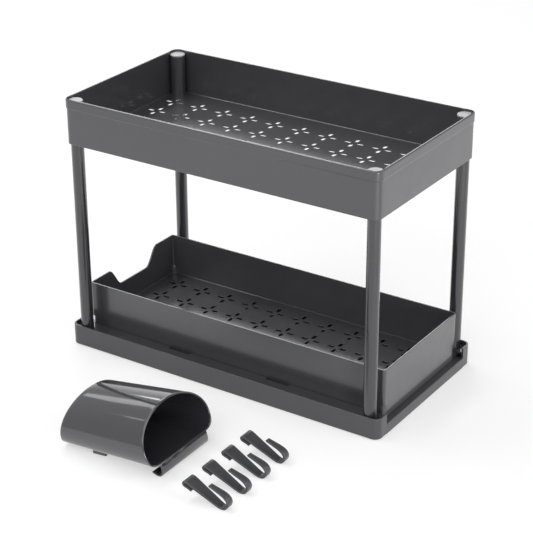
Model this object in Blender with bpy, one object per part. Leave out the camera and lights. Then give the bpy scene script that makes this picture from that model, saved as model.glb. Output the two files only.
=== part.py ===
"""Two-tier pull-out organizer: base tray, drawer, top tray, posts, caps, cup and hooks.

Metres, +Z up, +X along the long side, -Y towards the front. The origin is on the
floor at the centre of the base tray's footprint.
"""
import math

import bmesh
import bpy
import numpy as np
from mathutils import Matrix, Vector

# Walls, gaps and edges shared by the moulded pieces
wall = 0.0018
floor_thickness = 0.0020
pierced_floor = 0.0012
touch_gap = 0.0003
edge_round = 0.0006
margin = 0.0040
round_steps = 28
corner_steps = 6

# Top tray, measured over its rim band
tray_length = 0.3900
tray_depth = 0.2050
tray_rim_z = 0.2960
tray_height = 0.0515
tray_corner = 0.0078
band_height = 0.0108
band_step = 0.00075

# Posts and the sleeves and caps at their tops
post_radius = 0.0071
post_bore = 0.0055
post_inset = 0.0090
sleeve_wall = 0.0011
sleeve_drop = 0.0043
plug_radius = 0.0057
plug_depth = 0.0050
cap_radius = 0.0083
cap_thickness = 0.0015

# Base tray, which stands out past the top tray at its ends
base_flare = 0.0060
base_rim_z = 0.0250
base_wall = 0.0020
base_corner = 0.0085
ledge_drop = 0.0053
channel_z = 0.0128
channel_play = 0.0005
notch_half_depth = 0.0845
notch_length = 0.0105
cutout_x = 0.0645
cutout_length = 0.0305
cutout_depth = 0.0040
cutout_chamfer = 0.0020
socket_floor = 0.0025
foot_radius = 0.0120
rib_thickness = 0.0016
rib_x = 0.1290

# Anti-slip pads
pad_radius = 0.0060
pad_thickness = 0.0015
pad_proud = 0.0010

# Drawer, between the posts
drawer_end_gap = 0.0090
drawer_side_gap = 0.00715
drawer_rim_z = 0.0700
drawer_x = 0.0018
drawer_corner = 0.0035
drawer_floor_z = 0.0207
drawer_travel = 0.2400
relief_z = 0.0285
relief_corner = 0.0065
scoop_depth = 0.0225
scoop_flat = 0.0235
scoop_half = 0.0455
lug_length = 0.0060
lug_width = 0.0050
lug_y = 0.0500
lug_inset = 0.0220
lug_bite = 0.0038
slot_play = 0.0005

# Petal-shaped perforations, four to a flower
petal_length = 0.0080
petal_width = 0.0036
petal_reach = 0.0076
flower_margin = 0.0090
tray_pitch_x = 0.0342
tray_pitch_y = 0.0338
tray_shift_y = -0.0026
drawer_pitch_x = 0.0346
drawer_pitch_y = 0.0342
drawer_shift_x = -0.0091

# Hanging cup, lying on its flat back with the mouth towards +X
cup_half_width = 0.0550
cup_half_height = 0.0362
cup_flat_drop = 0.0164
cup_length = 0.1226
cup_taper_share = 0.9005
cup_mouth_lean_share = -0.3134
cup_rear_lean_share = 0.1650
cup_round = 0.0030
cup_x = 0.0548
cup_y = -0.2379
cup_mouth_lift = 0.0144
cup_rear_lift = 0.0022
cup_ring_points = 40
lip_half_width = 0.0388
lip_thickness = 0.0016
lip_size = 0.0130
lip_path_shares = [
    (-0.0700, 0.0600),
    (-0.0100, -0.1200),
    (0.0300, -0.3300),
    (0.0450, -0.6000),
    (-0.0200, -0.8400),
    (-0.1970, -0.9750),
    (-0.4200, -0.9950),
    (-0.6740, -0.9200),
    (-0.8900, -0.8100),
]
spacer_length = 0.0170
spacer_width = 0.0030
spacer_height = 0.0056
spacer_x = 0.0780
spacer_y = 0.0385

# Clip hooks, lying in a row beside the cup
hook_count = 4
hook_clip_width = 0.0156
hook_bend_width = 0.0086
hook_tip_width = 0.0052
hook_thickness = 0.0024
hook_size = 0.0550
hook_x = 0.0910
hook_y = -0.2873
hook_pitch = 0.0332
hook_taper_start_share = 0.1500
hook_taper_end_share = 0.8400
hook_arm_start_share = 0.5500
hook_arm_end_share = 0.9200
hook_split_share = 0.2280
hook_path_shares = [
    (0.2220, 0.2240),
    (0.1930, 0.2350),
    (0.1560, 0.2500),
    (0.1160, 0.2610),
    (0.0800, 0.2790),
    (0.0670, 0.3090),
    (0.0840, 0.3350),
    (0.1200, 0.3390),
    (0.1640, 0.3250),
    (0.3330, 0.2450),
    (0.5930, 0.1230),
    (0.6910, 0.0770),
    (0.7450, 0.0520),
    (0.8090, 0.0280),
    (0.8640, 0.0260),
    (0.9130, 0.0440),
    (0.9510, 0.0910),
    (0.9670, 0.1550),
    (0.9470, 0.2110),
    (0.9000, 0.2560),
    (0.8240, 0.2930),
    (0.6980, 0.3330),
    (0.5740, 0.3700),
]
barb_shares = [(0.1700, 0.2400), (0.2360, 0.2000), (0.2580, 0.2270), (0.2200, 0.2400), (0.1850, 0.2520)]

# Levels and places that follow from the sizes above
tray_bottom_z = tray_rim_z - tray_height
tray_wall_length = tray_length - 2 * band_step
tray_wall_depth = tray_depth - 2 * band_step
base_length = tray_length + 2 * base_flare
base_depth = tray_depth
post_x = tray_wall_length / 2 - post_inset
post_y = tray_wall_depth / 2 - post_inset
post_places = [(-post_x, -post_y), (post_x, -post_y), (-post_x, post_y), (post_x, post_y)]
corner_names = ["front_left", "front_right", "rear_left", "rear_right"]
socket_radius = post_radius + touch_gap
sleeve_radius = socket_radius + sleeve_wall
sleeve_top_z = tray_rim_z - sleeve_drop
plug_bottom_z = sleeve_top_z + touch_gap - plug_depth
post_top_z = plug_bottom_z - touch_gap
ledge_z = base_rim_z - ledge_drop
socket_z = pad_proud + socket_floor
post_bottom_z = socket_z + touch_gap
drawer_length = base_length - 2 * drawer_end_gap
drawer_depth = 2 * (post_y - post_radius - drawer_side_gap)
channel_half = drawer_depth / 2 + channel_play
drawer_bottom_z = channel_z + touch_gap
lug_x = drawer_x + drawer_length / 2 - lug_inset
lug_bottom_z = channel_z - lug_bite
cup_pitch = math.atan((cup_mouth_lift - cup_rear_lift) / cup_length)

# Colours, one material a piece
charcoal = (0.036, 0.036, 0.038, 1.0)
hook_charcoal = (0.030, 0.030, 0.032, 1.0)
cap_grey = (0.60, 0.60, 0.61, 1.0)
pad_black = (0.012, 0.012, 0.012, 1.0)
gloss_roughness = 0.18
satin_roughness = 0.35
soft_roughness = 0.80


def clear_scene():
    """Remove every object that the scene starts with."""
    for item in list(bpy.data.objects):
        bpy.data.objects.remove(item, do_unlink=True)


def make_collection(name):
    """Add a collection to the scene."""
    group = bpy.data.collections.new(name)
    bpy.context.scene.collection.children.link(group)
    return group


clear_scene()
parts = make_collection("two_tier_pull_out_organizer")
tools = make_collection("cutters")


def link(name, mesh, group):
    """Wrap a mesh as an object in a collection."""
    item = bpy.data.objects.new(name, mesh)
    group.objects.link(item)
    if group is tools:
        item.hide_render = True
        item.display_type = "WIRE"
    return item


def finish_mesh(name, body, group):
    """Turn a bmesh into an object with outward faces."""
    bmesh.ops.recalc_face_normals(body, faces=body.faces)
    mesh = bpy.data.meshes.new(name)
    body.to_mesh(mesh)
    body.free()
    return link(name, mesh, group)


def rounded_box(name, group, size, low_z, centre=(0.0, 0.0), radius=0.0, top_round=0.0):
    """Box standing on low_z, with rounded upright edges and a softened top edge."""
    body = bmesh.new()
    place = Matrix.Translation((centre[0], centre[1], low_z + size[2] / 2))
    bmesh.ops.create_cube(body, size=1.0, matrix=place @ Matrix.Diagonal((*size, 1.0)))
    if radius:
        upright = [e for e in body.edges if abs(e.verts[0].co.z - e.verts[1].co.z) > size[2] / 2]
        bmesh.ops.bevel(body, geom=upright, offset=radius, segments=corner_steps, profile=0.5, affect="EDGES")
    if top_round:
        middle = low_z + size[2] / 2
        top = [e for e in body.edges if min(v.co.z for v in e.verts) > middle]
        bmesh.ops.bevel(body, geom=top, offset=top_round, segments=1, profile=0.5, affect="EDGES")
    return finish_mesh(name, body, group)


def cylinder(name, group, radius, low_z, high_z, centre=(0.0, 0.0), steps=round_steps):
    """Upright cylinder between two levels."""
    body = bmesh.new()
    place = Matrix.Translation((centre[0], centre[1], (low_z + high_z) / 2))
    bmesh.ops.create_cone(
        body,
        cap_ends=True,
        segments=steps,
        radius1=radius,
        radius2=radius,
        depth=high_z - low_z,
        matrix=place,
    )
    return finish_mesh(name, body, group)


def plate(name, group, outline, thickness, turn):
    """Flat outline filled and given a thickness, then turned into its plane."""
    curve = bpy.data.curves.new(name, "CURVE")
    curve.dimensions = "2D"
    curve.fill_mode = "BOTH"
    curve.extrude = thickness / 2
    spline = curve.splines.new("POLY")
    spline.points.add(len(outline) - 1)
    for point, (across, along) in zip(spline.points, outline):
        point.co = (across, along, 0.0, 1.0)
    spline.use_cyclic_u = True
    holder = bpy.data.objects.new(name, curve)
    tools.objects.link(holder)
    graph = bpy.context.evaluated_depsgraph_get()
    mesh = bpy.data.meshes.new_from_object(holder.evaluated_get(graph))
    bpy.data.objects.remove(holder, do_unlink=True)
    body = bmesh.new()
    body.from_mesh(mesh)
    bpy.data.meshes.remove(mesh)
    bmesh.ops.remove_doubles(body, verts=body.verts, dist=touch_gap / 10)
    bmesh.ops.transform(body, matrix=turn, verts=body.verts)
    return finish_mesh(name, body, group)


def combine(item, other, operation):
    """Add a Boolean modifier to item."""
    step = item.modifiers.new(other.name, "BOOLEAN")
    step.operation = operation
    step.solver = "EXACT"
    step.object = other


def cut(item, other):
    """Take other away from item."""
    combine(item, other, "DIFFERENCE")


def add(item, other):
    """Join other to item as one solid."""
    combine(item, other, "UNION")


def paint(item, colour, roughness):
    """Give an object a plain Principled material of its own."""
    material = bpy.data.materials.new(item.name)
    material.use_nodes = True
    shader = material.node_tree.nodes["Principled BSDF"]
    shader.inputs["Base Color"].default_value = colour
    shader.inputs["Roughness"].default_value = roughness
    shader.inputs["Metallic"].default_value = 0.0
    item.data.materials.append(material)


def smooth_round(item):
    """Shade a round piece smooth, with its sharp edges kept."""
    for face in item.data.polygons:
        face.use_smooth = True
    item.data.set_sharp_from_angle(angle=math.radians(40))


def flower_count(inside, pitch):
    """How many flowers fit along an inside length, clear of its ends."""
    first = petal_length + 2 * petal_reach + 2 * flower_margin
    return int((inside - first) / pitch) + 1


def petal_cutter(name, inside, pitch_x, pitch_y, shift_x, shift_y, low_z, high_z):
    """One cutter holding a grid of flowers, each of four long petals."""
    body = bmesh.new()
    columns = flower_count(inside[0], pitch_x)
    rows = flower_count(inside[1], pitch_y)
    straight = petal_length / 2 - petal_width / 2
    for column in range(columns):
        for row in range(rows):
            x = shift_x + (column - (columns - 1) / 2) * pitch_x
            y = shift_y + (row - (rows - 1) / 2) * pitch_y
            for quarter in range(4):
                angle = quarter * math.pi / 2
                turn = Matrix.Rotation(angle, 4, "Z")
                place = Matrix.Translation((x, y, (low_z + high_z) / 2)) @ turn
                place = place @ Matrix.Translation((petal_reach, 0.0, 0.0))
                made = bmesh.ops.create_cone(
                    body,
                    cap_ends=True,
                    segments=6,
                    radius1=1.0,
                    radius2=1.0,
                    depth=high_z - low_z,
                )
                for vert in made["verts"]:
                    tip = abs(vert.co.y) > 0.9
                    along = math.copysign(petal_length / 2 if tip else straight, vert.co.y)
                    side = 0.0 if tip else math.copysign(petal_width / 2, vert.co.x)
                    vert.co = place @ Vector((along, side, vert.co.z))
    return finish_mesh(name, body, tools)


def build_top_tray():
    """Perforated tray with a rim band and a bored sleeve in each corner."""
    size = (tray_wall_length, tray_wall_depth, tray_height)
    tray = rounded_box("top_tray", parts, size, tray_bottom_z, radius=tray_corner)
    size = (tray_length, tray_depth, band_height)
    low = tray_rim_z - band_height
    band = rounded_box("tray_band", tools, size, low, radius=tray_corner + band_step, top_round=edge_round)
    size = (2 * tray_length, 2 * tray_depth, band_height)
    cut(tray, rounded_box("tray_top_trim", tools, size, low + band_height / 2))
    add(tray, band)
    floor_z = tray_bottom_z + pierced_floor
    inside = (tray_wall_length - 2 * wall, tray_wall_depth - 2 * wall)
    size = (*inside, tray_height)
    cut(tray, rounded_box("tray_inside", tools, size, floor_z, radius=tray_corner - wall))
    for name, place in zip(corner_names, post_places):
        add(tray, cylinder("sleeve_" + name, tools, sleeve_radius, tray_bottom_z, sleeve_top_z, place))
    for name, place in zip(corner_names, post_places):
        low = tray_bottom_z - margin
        cut(tray, cylinder("sleeve_bore_" + name, tools, socket_radius, low, plug_bottom_z, place))
        high = tray_rim_z + margin
        cut(tray, cylinder("plug_bore_" + name, tools, plug_radius + touch_gap, low, high, place))
        cut(tray, cylinder("cap_recess_" + name, tools, cap_radius + touch_gap, sleeve_top_z, high, place))
    petals = petal_cutter(
        "tray_petals",
        inside,
        tray_pitch_x,
        tray_pitch_y,
        0.0,
        tray_shift_y,
        tray_bottom_z - margin,
        floor_z + margin,
    )
    cut(tray, petals)
    paint(tray, charcoal, gloss_roughness)


def scoop_outline():
    """Outline of the grip scoop: a low flat with an S-curve up to the rim on each side."""
    steps = 10
    right = []
    for step in range(steps + 1):
        share = step / steps
        across = scoop_flat + share * (scoop_half - scoop_flat)
        drop = scoop_depth * (1 + math.cos(math.pi * share)) / 2
        right.append((across, drawer_rim_z - drop))
    right.append((scoop_half, drawer_rim_z + margin))
    left = [(-across, level) for across, level in reversed(right)]
    return right + left


def build_drawer():
    """Deep perforated basket with a skirt, a scooped end and two stop lugs."""
    upper = drawer_rim_z - relief_z
    centre = (drawer_x, 0.0)
    size = (drawer_length, drawer_depth, relief_z - drawer_bottom_z)
    drawer = rounded_box("drawer", parts, size, drawer_bottom_z, centre, radius=relief_corner)
    size = (drawer_length, drawer_depth, upper)
    add(drawer, rounded_box("drawer_upper", tools, size, relief_z, centre, drawer_corner, edge_round))
    inside = (drawer_length - 2 * wall, drawer_depth - 2 * wall)
    size = (*inside, relief_z - drawer_floor_z + 2 * wall)
    cut(drawer, rounded_box("drawer_inside_lower", tools, size, drawer_floor_z, centre, relief_corner - wall))
    size = (*inside, drawer_rim_z)
    cut(drawer, rounded_box("drawer_inside", tools, size, relief_z + wall, centre, drawer_corner - wall))
    under_z = drawer_floor_z - pierced_floor
    size = (*inside, under_z)
    cut(drawer, rounded_box("drawer_skirt", tools, size, 0.0, centre, relief_corner - wall))
    turn = Matrix.Rotation(math.pi / 2, 4, "Z") @ Matrix.Rotation(math.pi / 2, 4, "X")
    scoop = plate("scoop", tools, scoop_outline(), 2 * relief_corner, turn)
    scoop.location.x = drawer_x - drawer_length / 2
    cut(drawer, scoop)
    for side in (-1, 1):
        size = (lug_length, lug_width, under_z + pierced_floor / 2 - lug_bottom_z)
        add(drawer, rounded_box("lug_" + str(side), tools, size, lug_bottom_z, (lug_x, side * lug_y)))
    petals = petal_cutter(
        "drawer_petals",
        inside,
        drawer_pitch_x,
        drawer_pitch_y,
        drawer_x + drawer_shift_x,
        0.0,
        under_z - margin / 4,
        drawer_floor_z + margin,
    )
    cut(drawer, petals)
    paint(drawer, charcoal, gloss_roughness)


def cutout_outline():
    """Outline of a cut-out in the ledges, seen from above, for both ledges at once."""
    half = cutout_length / 2
    deep = channel_half + cutout_depth
    narrow = half - cutout_chamfer
    rear = [(-half, channel_half), (-narrow, deep), (narrow, deep), (half, channel_half)]
    return rear + [(across, -along) for across, along in reversed(rear)]


def build_base_tray():
    """Low tray with ledges, a drawer channel, end notches, post sockets and ribs below."""
    height = base_rim_z - pad_proud
    size = (base_length, base_depth, height)
    base = rounded_box("base_tray", parts, size, pad_proud, radius=base_corner, top_round=edge_round)
    inner_length = base_length - 2 * base_wall
    inner_depth = base_depth - 2 * base_wall
    size = (inner_length, inner_depth, base_rim_z)
    cut(base, rounded_box("above_ledges", tools, size, ledge_z, radius=base_corner - base_wall))
    notch_x = base_length / 2 - notch_length
    size = (2 * notch_x, 2 * channel_half, base_rim_z)
    cut(base, rounded_box("channel", tools, size, channel_z))
    for side in (-1, 1):
        size = (2 * notch_length, 2 * notch_half_depth, base_rim_z)
        place = (side * base_length / 2, 0.0)
        cut(base, rounded_box("notch_" + str(side), tools, size, channel_z, place))
    low = channel_z - floor_thickness
    size = (inner_length, 2 * (channel_half - 2 * base_wall), low)
    cut(base, rounded_box("under_channel", tools, size, 0.0))
    wing = inner_depth / 2 - channel_half - base_wall
    under_ledge = ledge_z - floor_thickness
    clear_x = post_x - socket_radius - base_wall
    for side in (-1, 1):
        size = (2 * clear_x, wing, under_ledge)
        place = (0.0, side * (channel_half + base_wall + wing / 2))
        cut(base, rounded_box("under_ledge_" + str(side), tools, size, 0.0, place))
    for side in (-1, 1):
        size = (rib_thickness, base_depth - base_wall, low - pad_proud + floor_thickness / 2)
        add(base, rounded_box("rib_" + str(side), tools, size, pad_proud, (side * rib_x, 0.0)))
    add(base, cylinder("centre_foot", tools, foot_radius, 0.0, low + floor_thickness / 2))
    outline = cutout_outline()
    for side in (-1, 1):
        hole = plate("cutouts_" + str(side), tools, outline, 2 * (base_rim_z - channel_z), Matrix.Identity(4))
        hole.location = (side * cutout_x, 0.0, base_rim_z)
        cut(base, hole)
    start = lug_x - drawer_travel - lug_length / 2 - slot_play
    end = lug_x + lug_length / 2 + slot_play
    for side in (-1, 1):
        size = (end - start, lug_width + 2 * slot_play, 2 * (channel_z - lug_bottom_z))
        place = ((start + end) / 2, side * lug_y)
        low_slot = lug_bottom_z - touch_gap
        cut(base, rounded_box("stop_slot_" + str(side), tools, size, low_slot, place))
    for name, place in zip(corner_names, post_places):
        cut(base, cylinder("socket_" + name, tools, socket_radius, socket_z, base_rim_z + margin, place))
        high = pad_thickness + touch_gap
        cut(base, cylinder("pad_seat_" + name, tools, pad_radius + touch_gap, 0.0, high, place))
    paint(base, charcoal, gloss_roughness)


def build_posts():
    """Four tubes from the base's sockets up into the tray's sleeves."""
    for name, place in zip(corner_names, post_places):
        post = cylinder("post_" + name, parts, post_radius, post_bottom_z, post_top_z, place)
        low = post_bottom_z - margin
        cut(post, cylinder("post_bore_" + name, tools, post_bore, low, post_top_z + margin, place))
        smooth_round(post)
        paint(post, charcoal, gloss_roughness)


def build_caps():
    """Four light caps: a domed-edge disc on a plug that enters the sleeve."""
    for name, place in zip(corner_names, post_places):
        seat = sleeve_top_z + touch_gap
        cap = cylinder("cap_" + name, parts, cap_radius, seat, seat + cap_thickness, place)
        low = plug_bottom_z + touch_gap
        add(cap, cylinder("plug_" + name, tools, plug_radius, low, seat + cap_thickness / 2, place))
        paint(cap, cap_grey, satin_roughness)


def build_pads():
    """Four round anti-slip pads in seats under the corners."""
    for name, place in zip(corner_names, post_places):
        pad = cylinder("pad_" + name, parts, pad_radius, 0.0, pad_thickness, place)
        paint(pad, pad_black, soft_roughness)


def cup_section(inset):
    """Closed ring of (y, z) points: an ellipse's upper arc on a flat, with rounded corners."""
    half_width = cup_half_width - inset
    half_height = cup_half_height - inset
    flat_drop = cup_flat_drop - inset
    limit = math.acos(-flat_drop / half_height)
    angle = np.linspace(-limit, limit, 240)
    arc = np.stack([half_width * np.sin(angle), cup_flat_drop + half_height * np.cos(angle)], axis=1)
    flat = np.linspace(arc[-1], arc[0], 82)[1:-1]
    ring = np.concatenate([arc, flat])
    window = 11
    padded = np.concatenate([ring[-window:], ring, ring[:window]])
    kernel = np.ones(2 * window + 1) / (2 * window + 1)
    ring = np.stack([np.convolve(padded[:, axis], kernel, "valid") for axis in (0, 1)], axis=1)
    closed = np.concatenate([ring, ring[:1]])
    run = np.concatenate([[0.0], np.cumsum(np.linalg.norm(np.diff(closed, axis=0), axis=1))])
    want = np.linspace(0.0, run[-1], cup_ring_points + 1)[:-1]
    return np.stack([np.interp(want, run, closed[:, axis]) for axis in (0, 1)], axis=1)


def cup_ring(share, inset, push):
    """Ring of 3-D points at a share of the cup's length, pushed on along X."""
    section = cup_section(inset) * (1 - share * (1 - cup_taper_share))
    lean = cup_mouth_lean_share * (1 - share) + cup_rear_lean_share * share
    along = -cup_length * share + lean * section[:, 1] + push
    return np.column_stack([along, section[:, 0], section[:, 1]])


def loft(name, group, rings):
    """Closed body through a list of rings with the same number of points."""
    body = bmesh.new()
    rows = [[body.verts.new(point) for point in ring] for ring in rings]
    count = len(rows[0])
    for first, second in zip(rows, rows[1:]):
        for index in range(count):
            following = (index + 1) % count
            body.faces.new((first[index], first[following], second[following], second[index]))
    body.faces.new(rows[0])
    body.faces.new(list(reversed(rows[-1])))
    return finish_mesh(name, body, group)


def ribbon(path, thickness):
    """Outline of a strip of one thickness along a path, square at its ends."""
    points = np.array(path)
    step = np.gradient(points, axis=0)
    step /= np.linalg.norm(step, axis=1)[:, None]
    side = np.stack([-step[:, 1], step[:, 0]], axis=1) * thickness / 2
    return [tuple(point) for point in np.concatenate([points + side, (points - side)[::-1]])]


def smooth_path(path, steps):
    """Path through the given points with steps pieces between each pair (Catmull-Rom)."""
    points = np.array(path)
    points = np.concatenate([2 * points[:1] - points[1:2], points, 2 * points[-1:] - points[-2:-1]])
    share = np.linspace(0.0, 1.0, steps, endpoint=False)[:, None]
    rows = []
    for index in range(1, len(points) - 2):
        before, start, end, after = points[index - 1 : index + 3]
        bend = 2 * before - 5 * start + 4 * end - after
        twist = 3 * start - before - 3 * end + after
        rows.append((2 * start + (end - before) * share + bend * share**2 + twist * share**3) / 2)
    return np.concatenate(rows + [points[-2:-1]])


def build_cup():
    """Tapered half-round cup with a flat back, a hook lip and two spacers."""
    third = cup_round / 3
    rear = [cup_ring(1.0, 0.0, cup_round), cup_ring(1.0, third, third), cup_ring(1.0, cup_round, 0.0)]
    cup = loft("hanging_cup", parts, [cup_ring(0.0, 0.0, 0.0), cup_ring(0.5, 0.0, 0.0)] + rear)
    rear = [cup_ring(1.0, wall, wall + cup_round), cup_ring(1.0, wall + cup_round, wall)]
    hollow = loft("cup_hollow", tools, [cup_ring(-0.1, wall, 0.0), cup_ring(0.5, wall, 0.0)] + rear)
    turn = Matrix.Rotation(math.pi / 2, 4, "X")
    path = smooth_path(np.array(lip_path_shares) * lip_size, 3)
    lip = plate("cup_lip", tools, ribbon(path, lip_thickness), 2 * lip_half_width, turn)
    add(cup, lip)
    pieces = [cup, lip, hollow]
    for side in (-1, 1):
        size = (spacer_length, spacer_width, spacer_height + wall / 2)
        spacer = rounded_box("spacer_" + str(side), tools, size, -spacer_height, (-spacer_x, side * spacer_y))
        add(cup, spacer)
        pieces.append(spacer)
    cut(cup, hollow)
    for piece in pieces:
        piece.rotation_euler.y = -cup_pitch
        piece.location = (cup_x, cup_y, cup_mouth_lift)
    smooth_round(cup)
    paint(cup, charcoal, gloss_roughness)


def taper_cutter(name, side, line, height):
    """Upright cutter outside a line of (along, half width) points, seen from above."""
    outer = side * (hook_clip_width / 2 + margin)
    outline = [(along, side * half) for along, half in line]
    outline += [(line[-1][0], outer), (line[0][0], outer)]
    return plate(name, tools, outline, height, Matrix.Identity(4))


def build_hooks():
    """Four strips, each a wide rim clip at one end that narrows to a bend and a hook arm."""
    turn = Matrix.Rotation(math.pi / 2, 4, "X")
    outline = ribbon(smooth_path(np.array(hook_path_shares) * hook_size, 2), hook_thickness)
    barb = [(x * hook_size, z * hook_size) for x, z in barb_shares]
    bend = hook_bend_width / 2
    strip_line = [
        (hook_taper_start_share * hook_size, hook_clip_width / 2),
        (hook_taper_end_share * hook_size, bend),
        (hook_size, bend),
    ]
    arm_line = [
        (hook_arm_start_share * hook_size, hook_tip_width / 2),
        (hook_arm_end_share * hook_size, bend),
    ]
    arm_level = (hook_split_share + 1 / 2) * hook_size
    for index in range(hook_count):
        place = (hook_x, hook_y + index * hook_pitch, 0.0)
        name = "clip_hook_" + str(index + 1)
        hook = plate(name, parts, outline, hook_clip_width, turn)
        tooth = plate(name + "_barb", tools, barb, hook_clip_width, turn)
        add(hook, tooth)
        hook.location = place
        tooth.location = place
        for side in (-1, 1):
            shave = taper_cutter(name + "_strip_" + str(side), side, strip_line, hook_size)
            shave.location = place
            cut(hook, shave)
            shave = taper_cutter(name + "_arm_" + str(side), side, arm_line, hook_size)
            shave.location = (place[0], place[1], arm_level)
            cut(hook, shave)
        paint(hook, hook_charcoal, satin_roughness)


build_base_tray()
build_drawer()
build_top_tray()
build_posts()
build_caps()
build_pads()
build_cup()
build_hooks()
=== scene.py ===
"""Looks of a two-tier pull-out organizer: a perforated tray on four posts over a base with a drawer.

Metres, +Z up, +X along the organizer's long side, -Y towards the front where the cup and hooks lie.
"""

import math

import bmesh
import bpy
import numpy as np
from mathutils import Matrix, Vector


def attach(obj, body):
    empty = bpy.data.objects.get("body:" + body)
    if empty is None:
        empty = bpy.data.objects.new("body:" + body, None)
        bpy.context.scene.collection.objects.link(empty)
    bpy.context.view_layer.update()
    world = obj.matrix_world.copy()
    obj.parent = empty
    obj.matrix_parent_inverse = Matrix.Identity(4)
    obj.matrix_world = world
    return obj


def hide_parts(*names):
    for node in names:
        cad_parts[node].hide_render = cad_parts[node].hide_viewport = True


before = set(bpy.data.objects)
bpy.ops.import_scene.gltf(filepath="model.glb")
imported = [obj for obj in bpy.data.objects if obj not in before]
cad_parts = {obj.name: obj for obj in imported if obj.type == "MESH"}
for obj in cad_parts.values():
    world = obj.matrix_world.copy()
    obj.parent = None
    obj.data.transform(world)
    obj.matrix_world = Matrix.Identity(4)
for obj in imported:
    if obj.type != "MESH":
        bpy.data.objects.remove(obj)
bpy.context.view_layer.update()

# Camera
# A long lens, 1.9 m away at the front right and looking 25 degrees down. From there the posts lean
# in only a little, so it needs no shift and hardly any roll.
camera_place = (0.9268, -1.4004, 0.9034)
camera_turn = math.radians(33.569)
camera_dip = math.radians(25.373)
camera_roll = math.radians(-0.319)

camera_data = bpy.data.cameras.new("studio_camera")
camera_data.sensor_width = 36.0
camera_data.lens = 113.906
camera = bpy.data.objects.new("studio_camera", camera_data)
aim = Matrix.Rotation(camera_turn, 4, "Z") @ Matrix.Rotation(math.pi / 2 - camera_dip, 4, "X")
camera.matrix_world = Matrix.Translation(camera_place) @ aim @ Matrix.Rotation(camera_roll, 4, "Z")
bpy.context.scene.collection.objects.link(camera)
bpy.context.scene.camera = camera


# Studio
# White paper on the floor of a room that is white low at the rear, darker above that and grey in
# front. Three broad lamps light the set. Four smaller ones are mirrored: one at the rear in the
# flat rims, one low at the front in the upright corners, and two at the left along the cup.
def linear(code):
    """sRGB hex code to linear RGBA: c/12.92 below 0.04045, else ((c + 0.055) / 1.055) ** 2.4."""
    c = np.array([int(code[i : i + 2], 16) / 255 for i in (1, 3, 5)])
    c = np.where(c <= 0.04045, c / 12.92, ((c + 0.055) / 1.055) ** 2.4)
    return (*c.tolist(), 1.0)


def add_node(tree, kind, links=None, **settings):
    """Add a shader node: settings are its own attributes, or its inputs by name or in_<number>."""
    node = tree.nodes.new(kind)
    for key, value in settings.items():
        if key.startswith("in_"):
            node.inputs[int(key[3:])].default_value = value
        elif key in node.inputs:
            node.inputs[key].default_value = value
        else:
            setattr(node, key, value)
    for socket, source in (links or {}).items():
        tree.links.new(source, node.inputs[socket])
    return node


def seen_ray(tree):
    """1 for a ray from the camera, or one mirrored or let through on its way from it, else 0."""
    path = add_node(tree, "ShaderNodeLightPath").outputs
    first = add_node(
        tree,
        "ShaderNodeMath",
        {0: path["Is Camera Ray"], 1: path["Is Glossy Ray"]},
        operation="MAXIMUM",
    )
    return add_node(
        tree,
        "ShaderNodeMath",
        {0: first.outputs[0], 1: path["Is Transmission Ray"]},
        operation="MAXIMUM",
    ).outputs[0]


# Strengths of the room: what lights the set, and what is seen low and high at the rear and in front.
room_fill = 0.36
room_rear_low = 1.0
room_rear_high = 0.5
room_front = 0.7

world = bpy.data.worlds.new("white_room")
world.use_nodes = True
bpy.context.scene.world = world
room = world.node_tree
room.nodes.clear()
seen = seen_ray(room)
fill = add_node(room, "ShaderNodeBackground", Color=linear("#ffffff"), Strength=room_fill)
ray = add_node(room, "ShaderNodeTexCoord").outputs["Generated"]
facing = add_node(room, "ShaderNodeSeparateXYZ", {"Vector": ray}).outputs
# The rear darkens from 10 to 24 degrees above the horizon, where a ray rises by 0.18 and 0.40.
rear = add_node(
    room,
    "ShaderNodeMapRange",
    {0: facing["Z"]},
    in_1=0.18,
    in_2=0.40,
    in_3=room_rear_low,
    in_4=room_rear_high,
)
# The front's grey turns into the rear as a ray points backwards, by 0.2 to 0.7 of its length.
walls = add_node(
    room,
    "ShaderNodeMapRange",
    {0: facing["Y"], 4: rear.outputs[0]},
    in_1=0.2,
    in_2=0.7,
    in_3=room_front,
)
white = add_node(
    room, "ShaderNodeBackground", {"Strength": walls.outputs[0]}, Color=linear("#ffffff")
)
both = add_node(room, "ShaderNodeMixShader", {0: seen, 1: fill.outputs[0], 2: white.outputs[0]})
add_node(room, "ShaderNodeOutputWorld", {"Surface": both.outputs[0]})

# The paper is lit as a light grey, and glows for what is seen, so that it comes out white.
paper_grey = (0.55, 0.55, 0.55, 1.0)
paper_glow = (0.50, 0.50, 0.50, 1.0)
paper_half = 6.0

paper = bpy.data.materials.new("white_paper_sweep")
paper.use_nodes = True
tree = paper.node_tree
tree.nodes.clear()
matt = add_node(tree, "ShaderNodeBsdfDiffuse", Color=paper_grey, Roughness=0.0)
glow = add_node(tree, "ShaderNodeEmission", {"Strength": seen_ray(tree)}, Color=paper_glow)
lit = add_node(tree, "ShaderNodeAddShader", {0: matt.outputs[0], 1: glow.outputs[0]})
add_node(tree, "ShaderNodeOutputMaterial", {"Surface": lit.outputs[0]})

sweep_mesh = bpy.data.meshes.new("paper_sweep")
sheet_corners = [(x * paper_half, y * paper_half, 0) for x, y in ((-1, -1), (1, -1), (1, 1), (-1, 1))]
sweep_mesh.from_pydata(sheet_corners, [], [(0, 1, 2, 3)])
sweep = bpy.data.objects.new("paper_sweep", sweep_mesh)
sweep.data.materials.append(paper)
bpy.context.scene.collection.objects.link(sweep)


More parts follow.
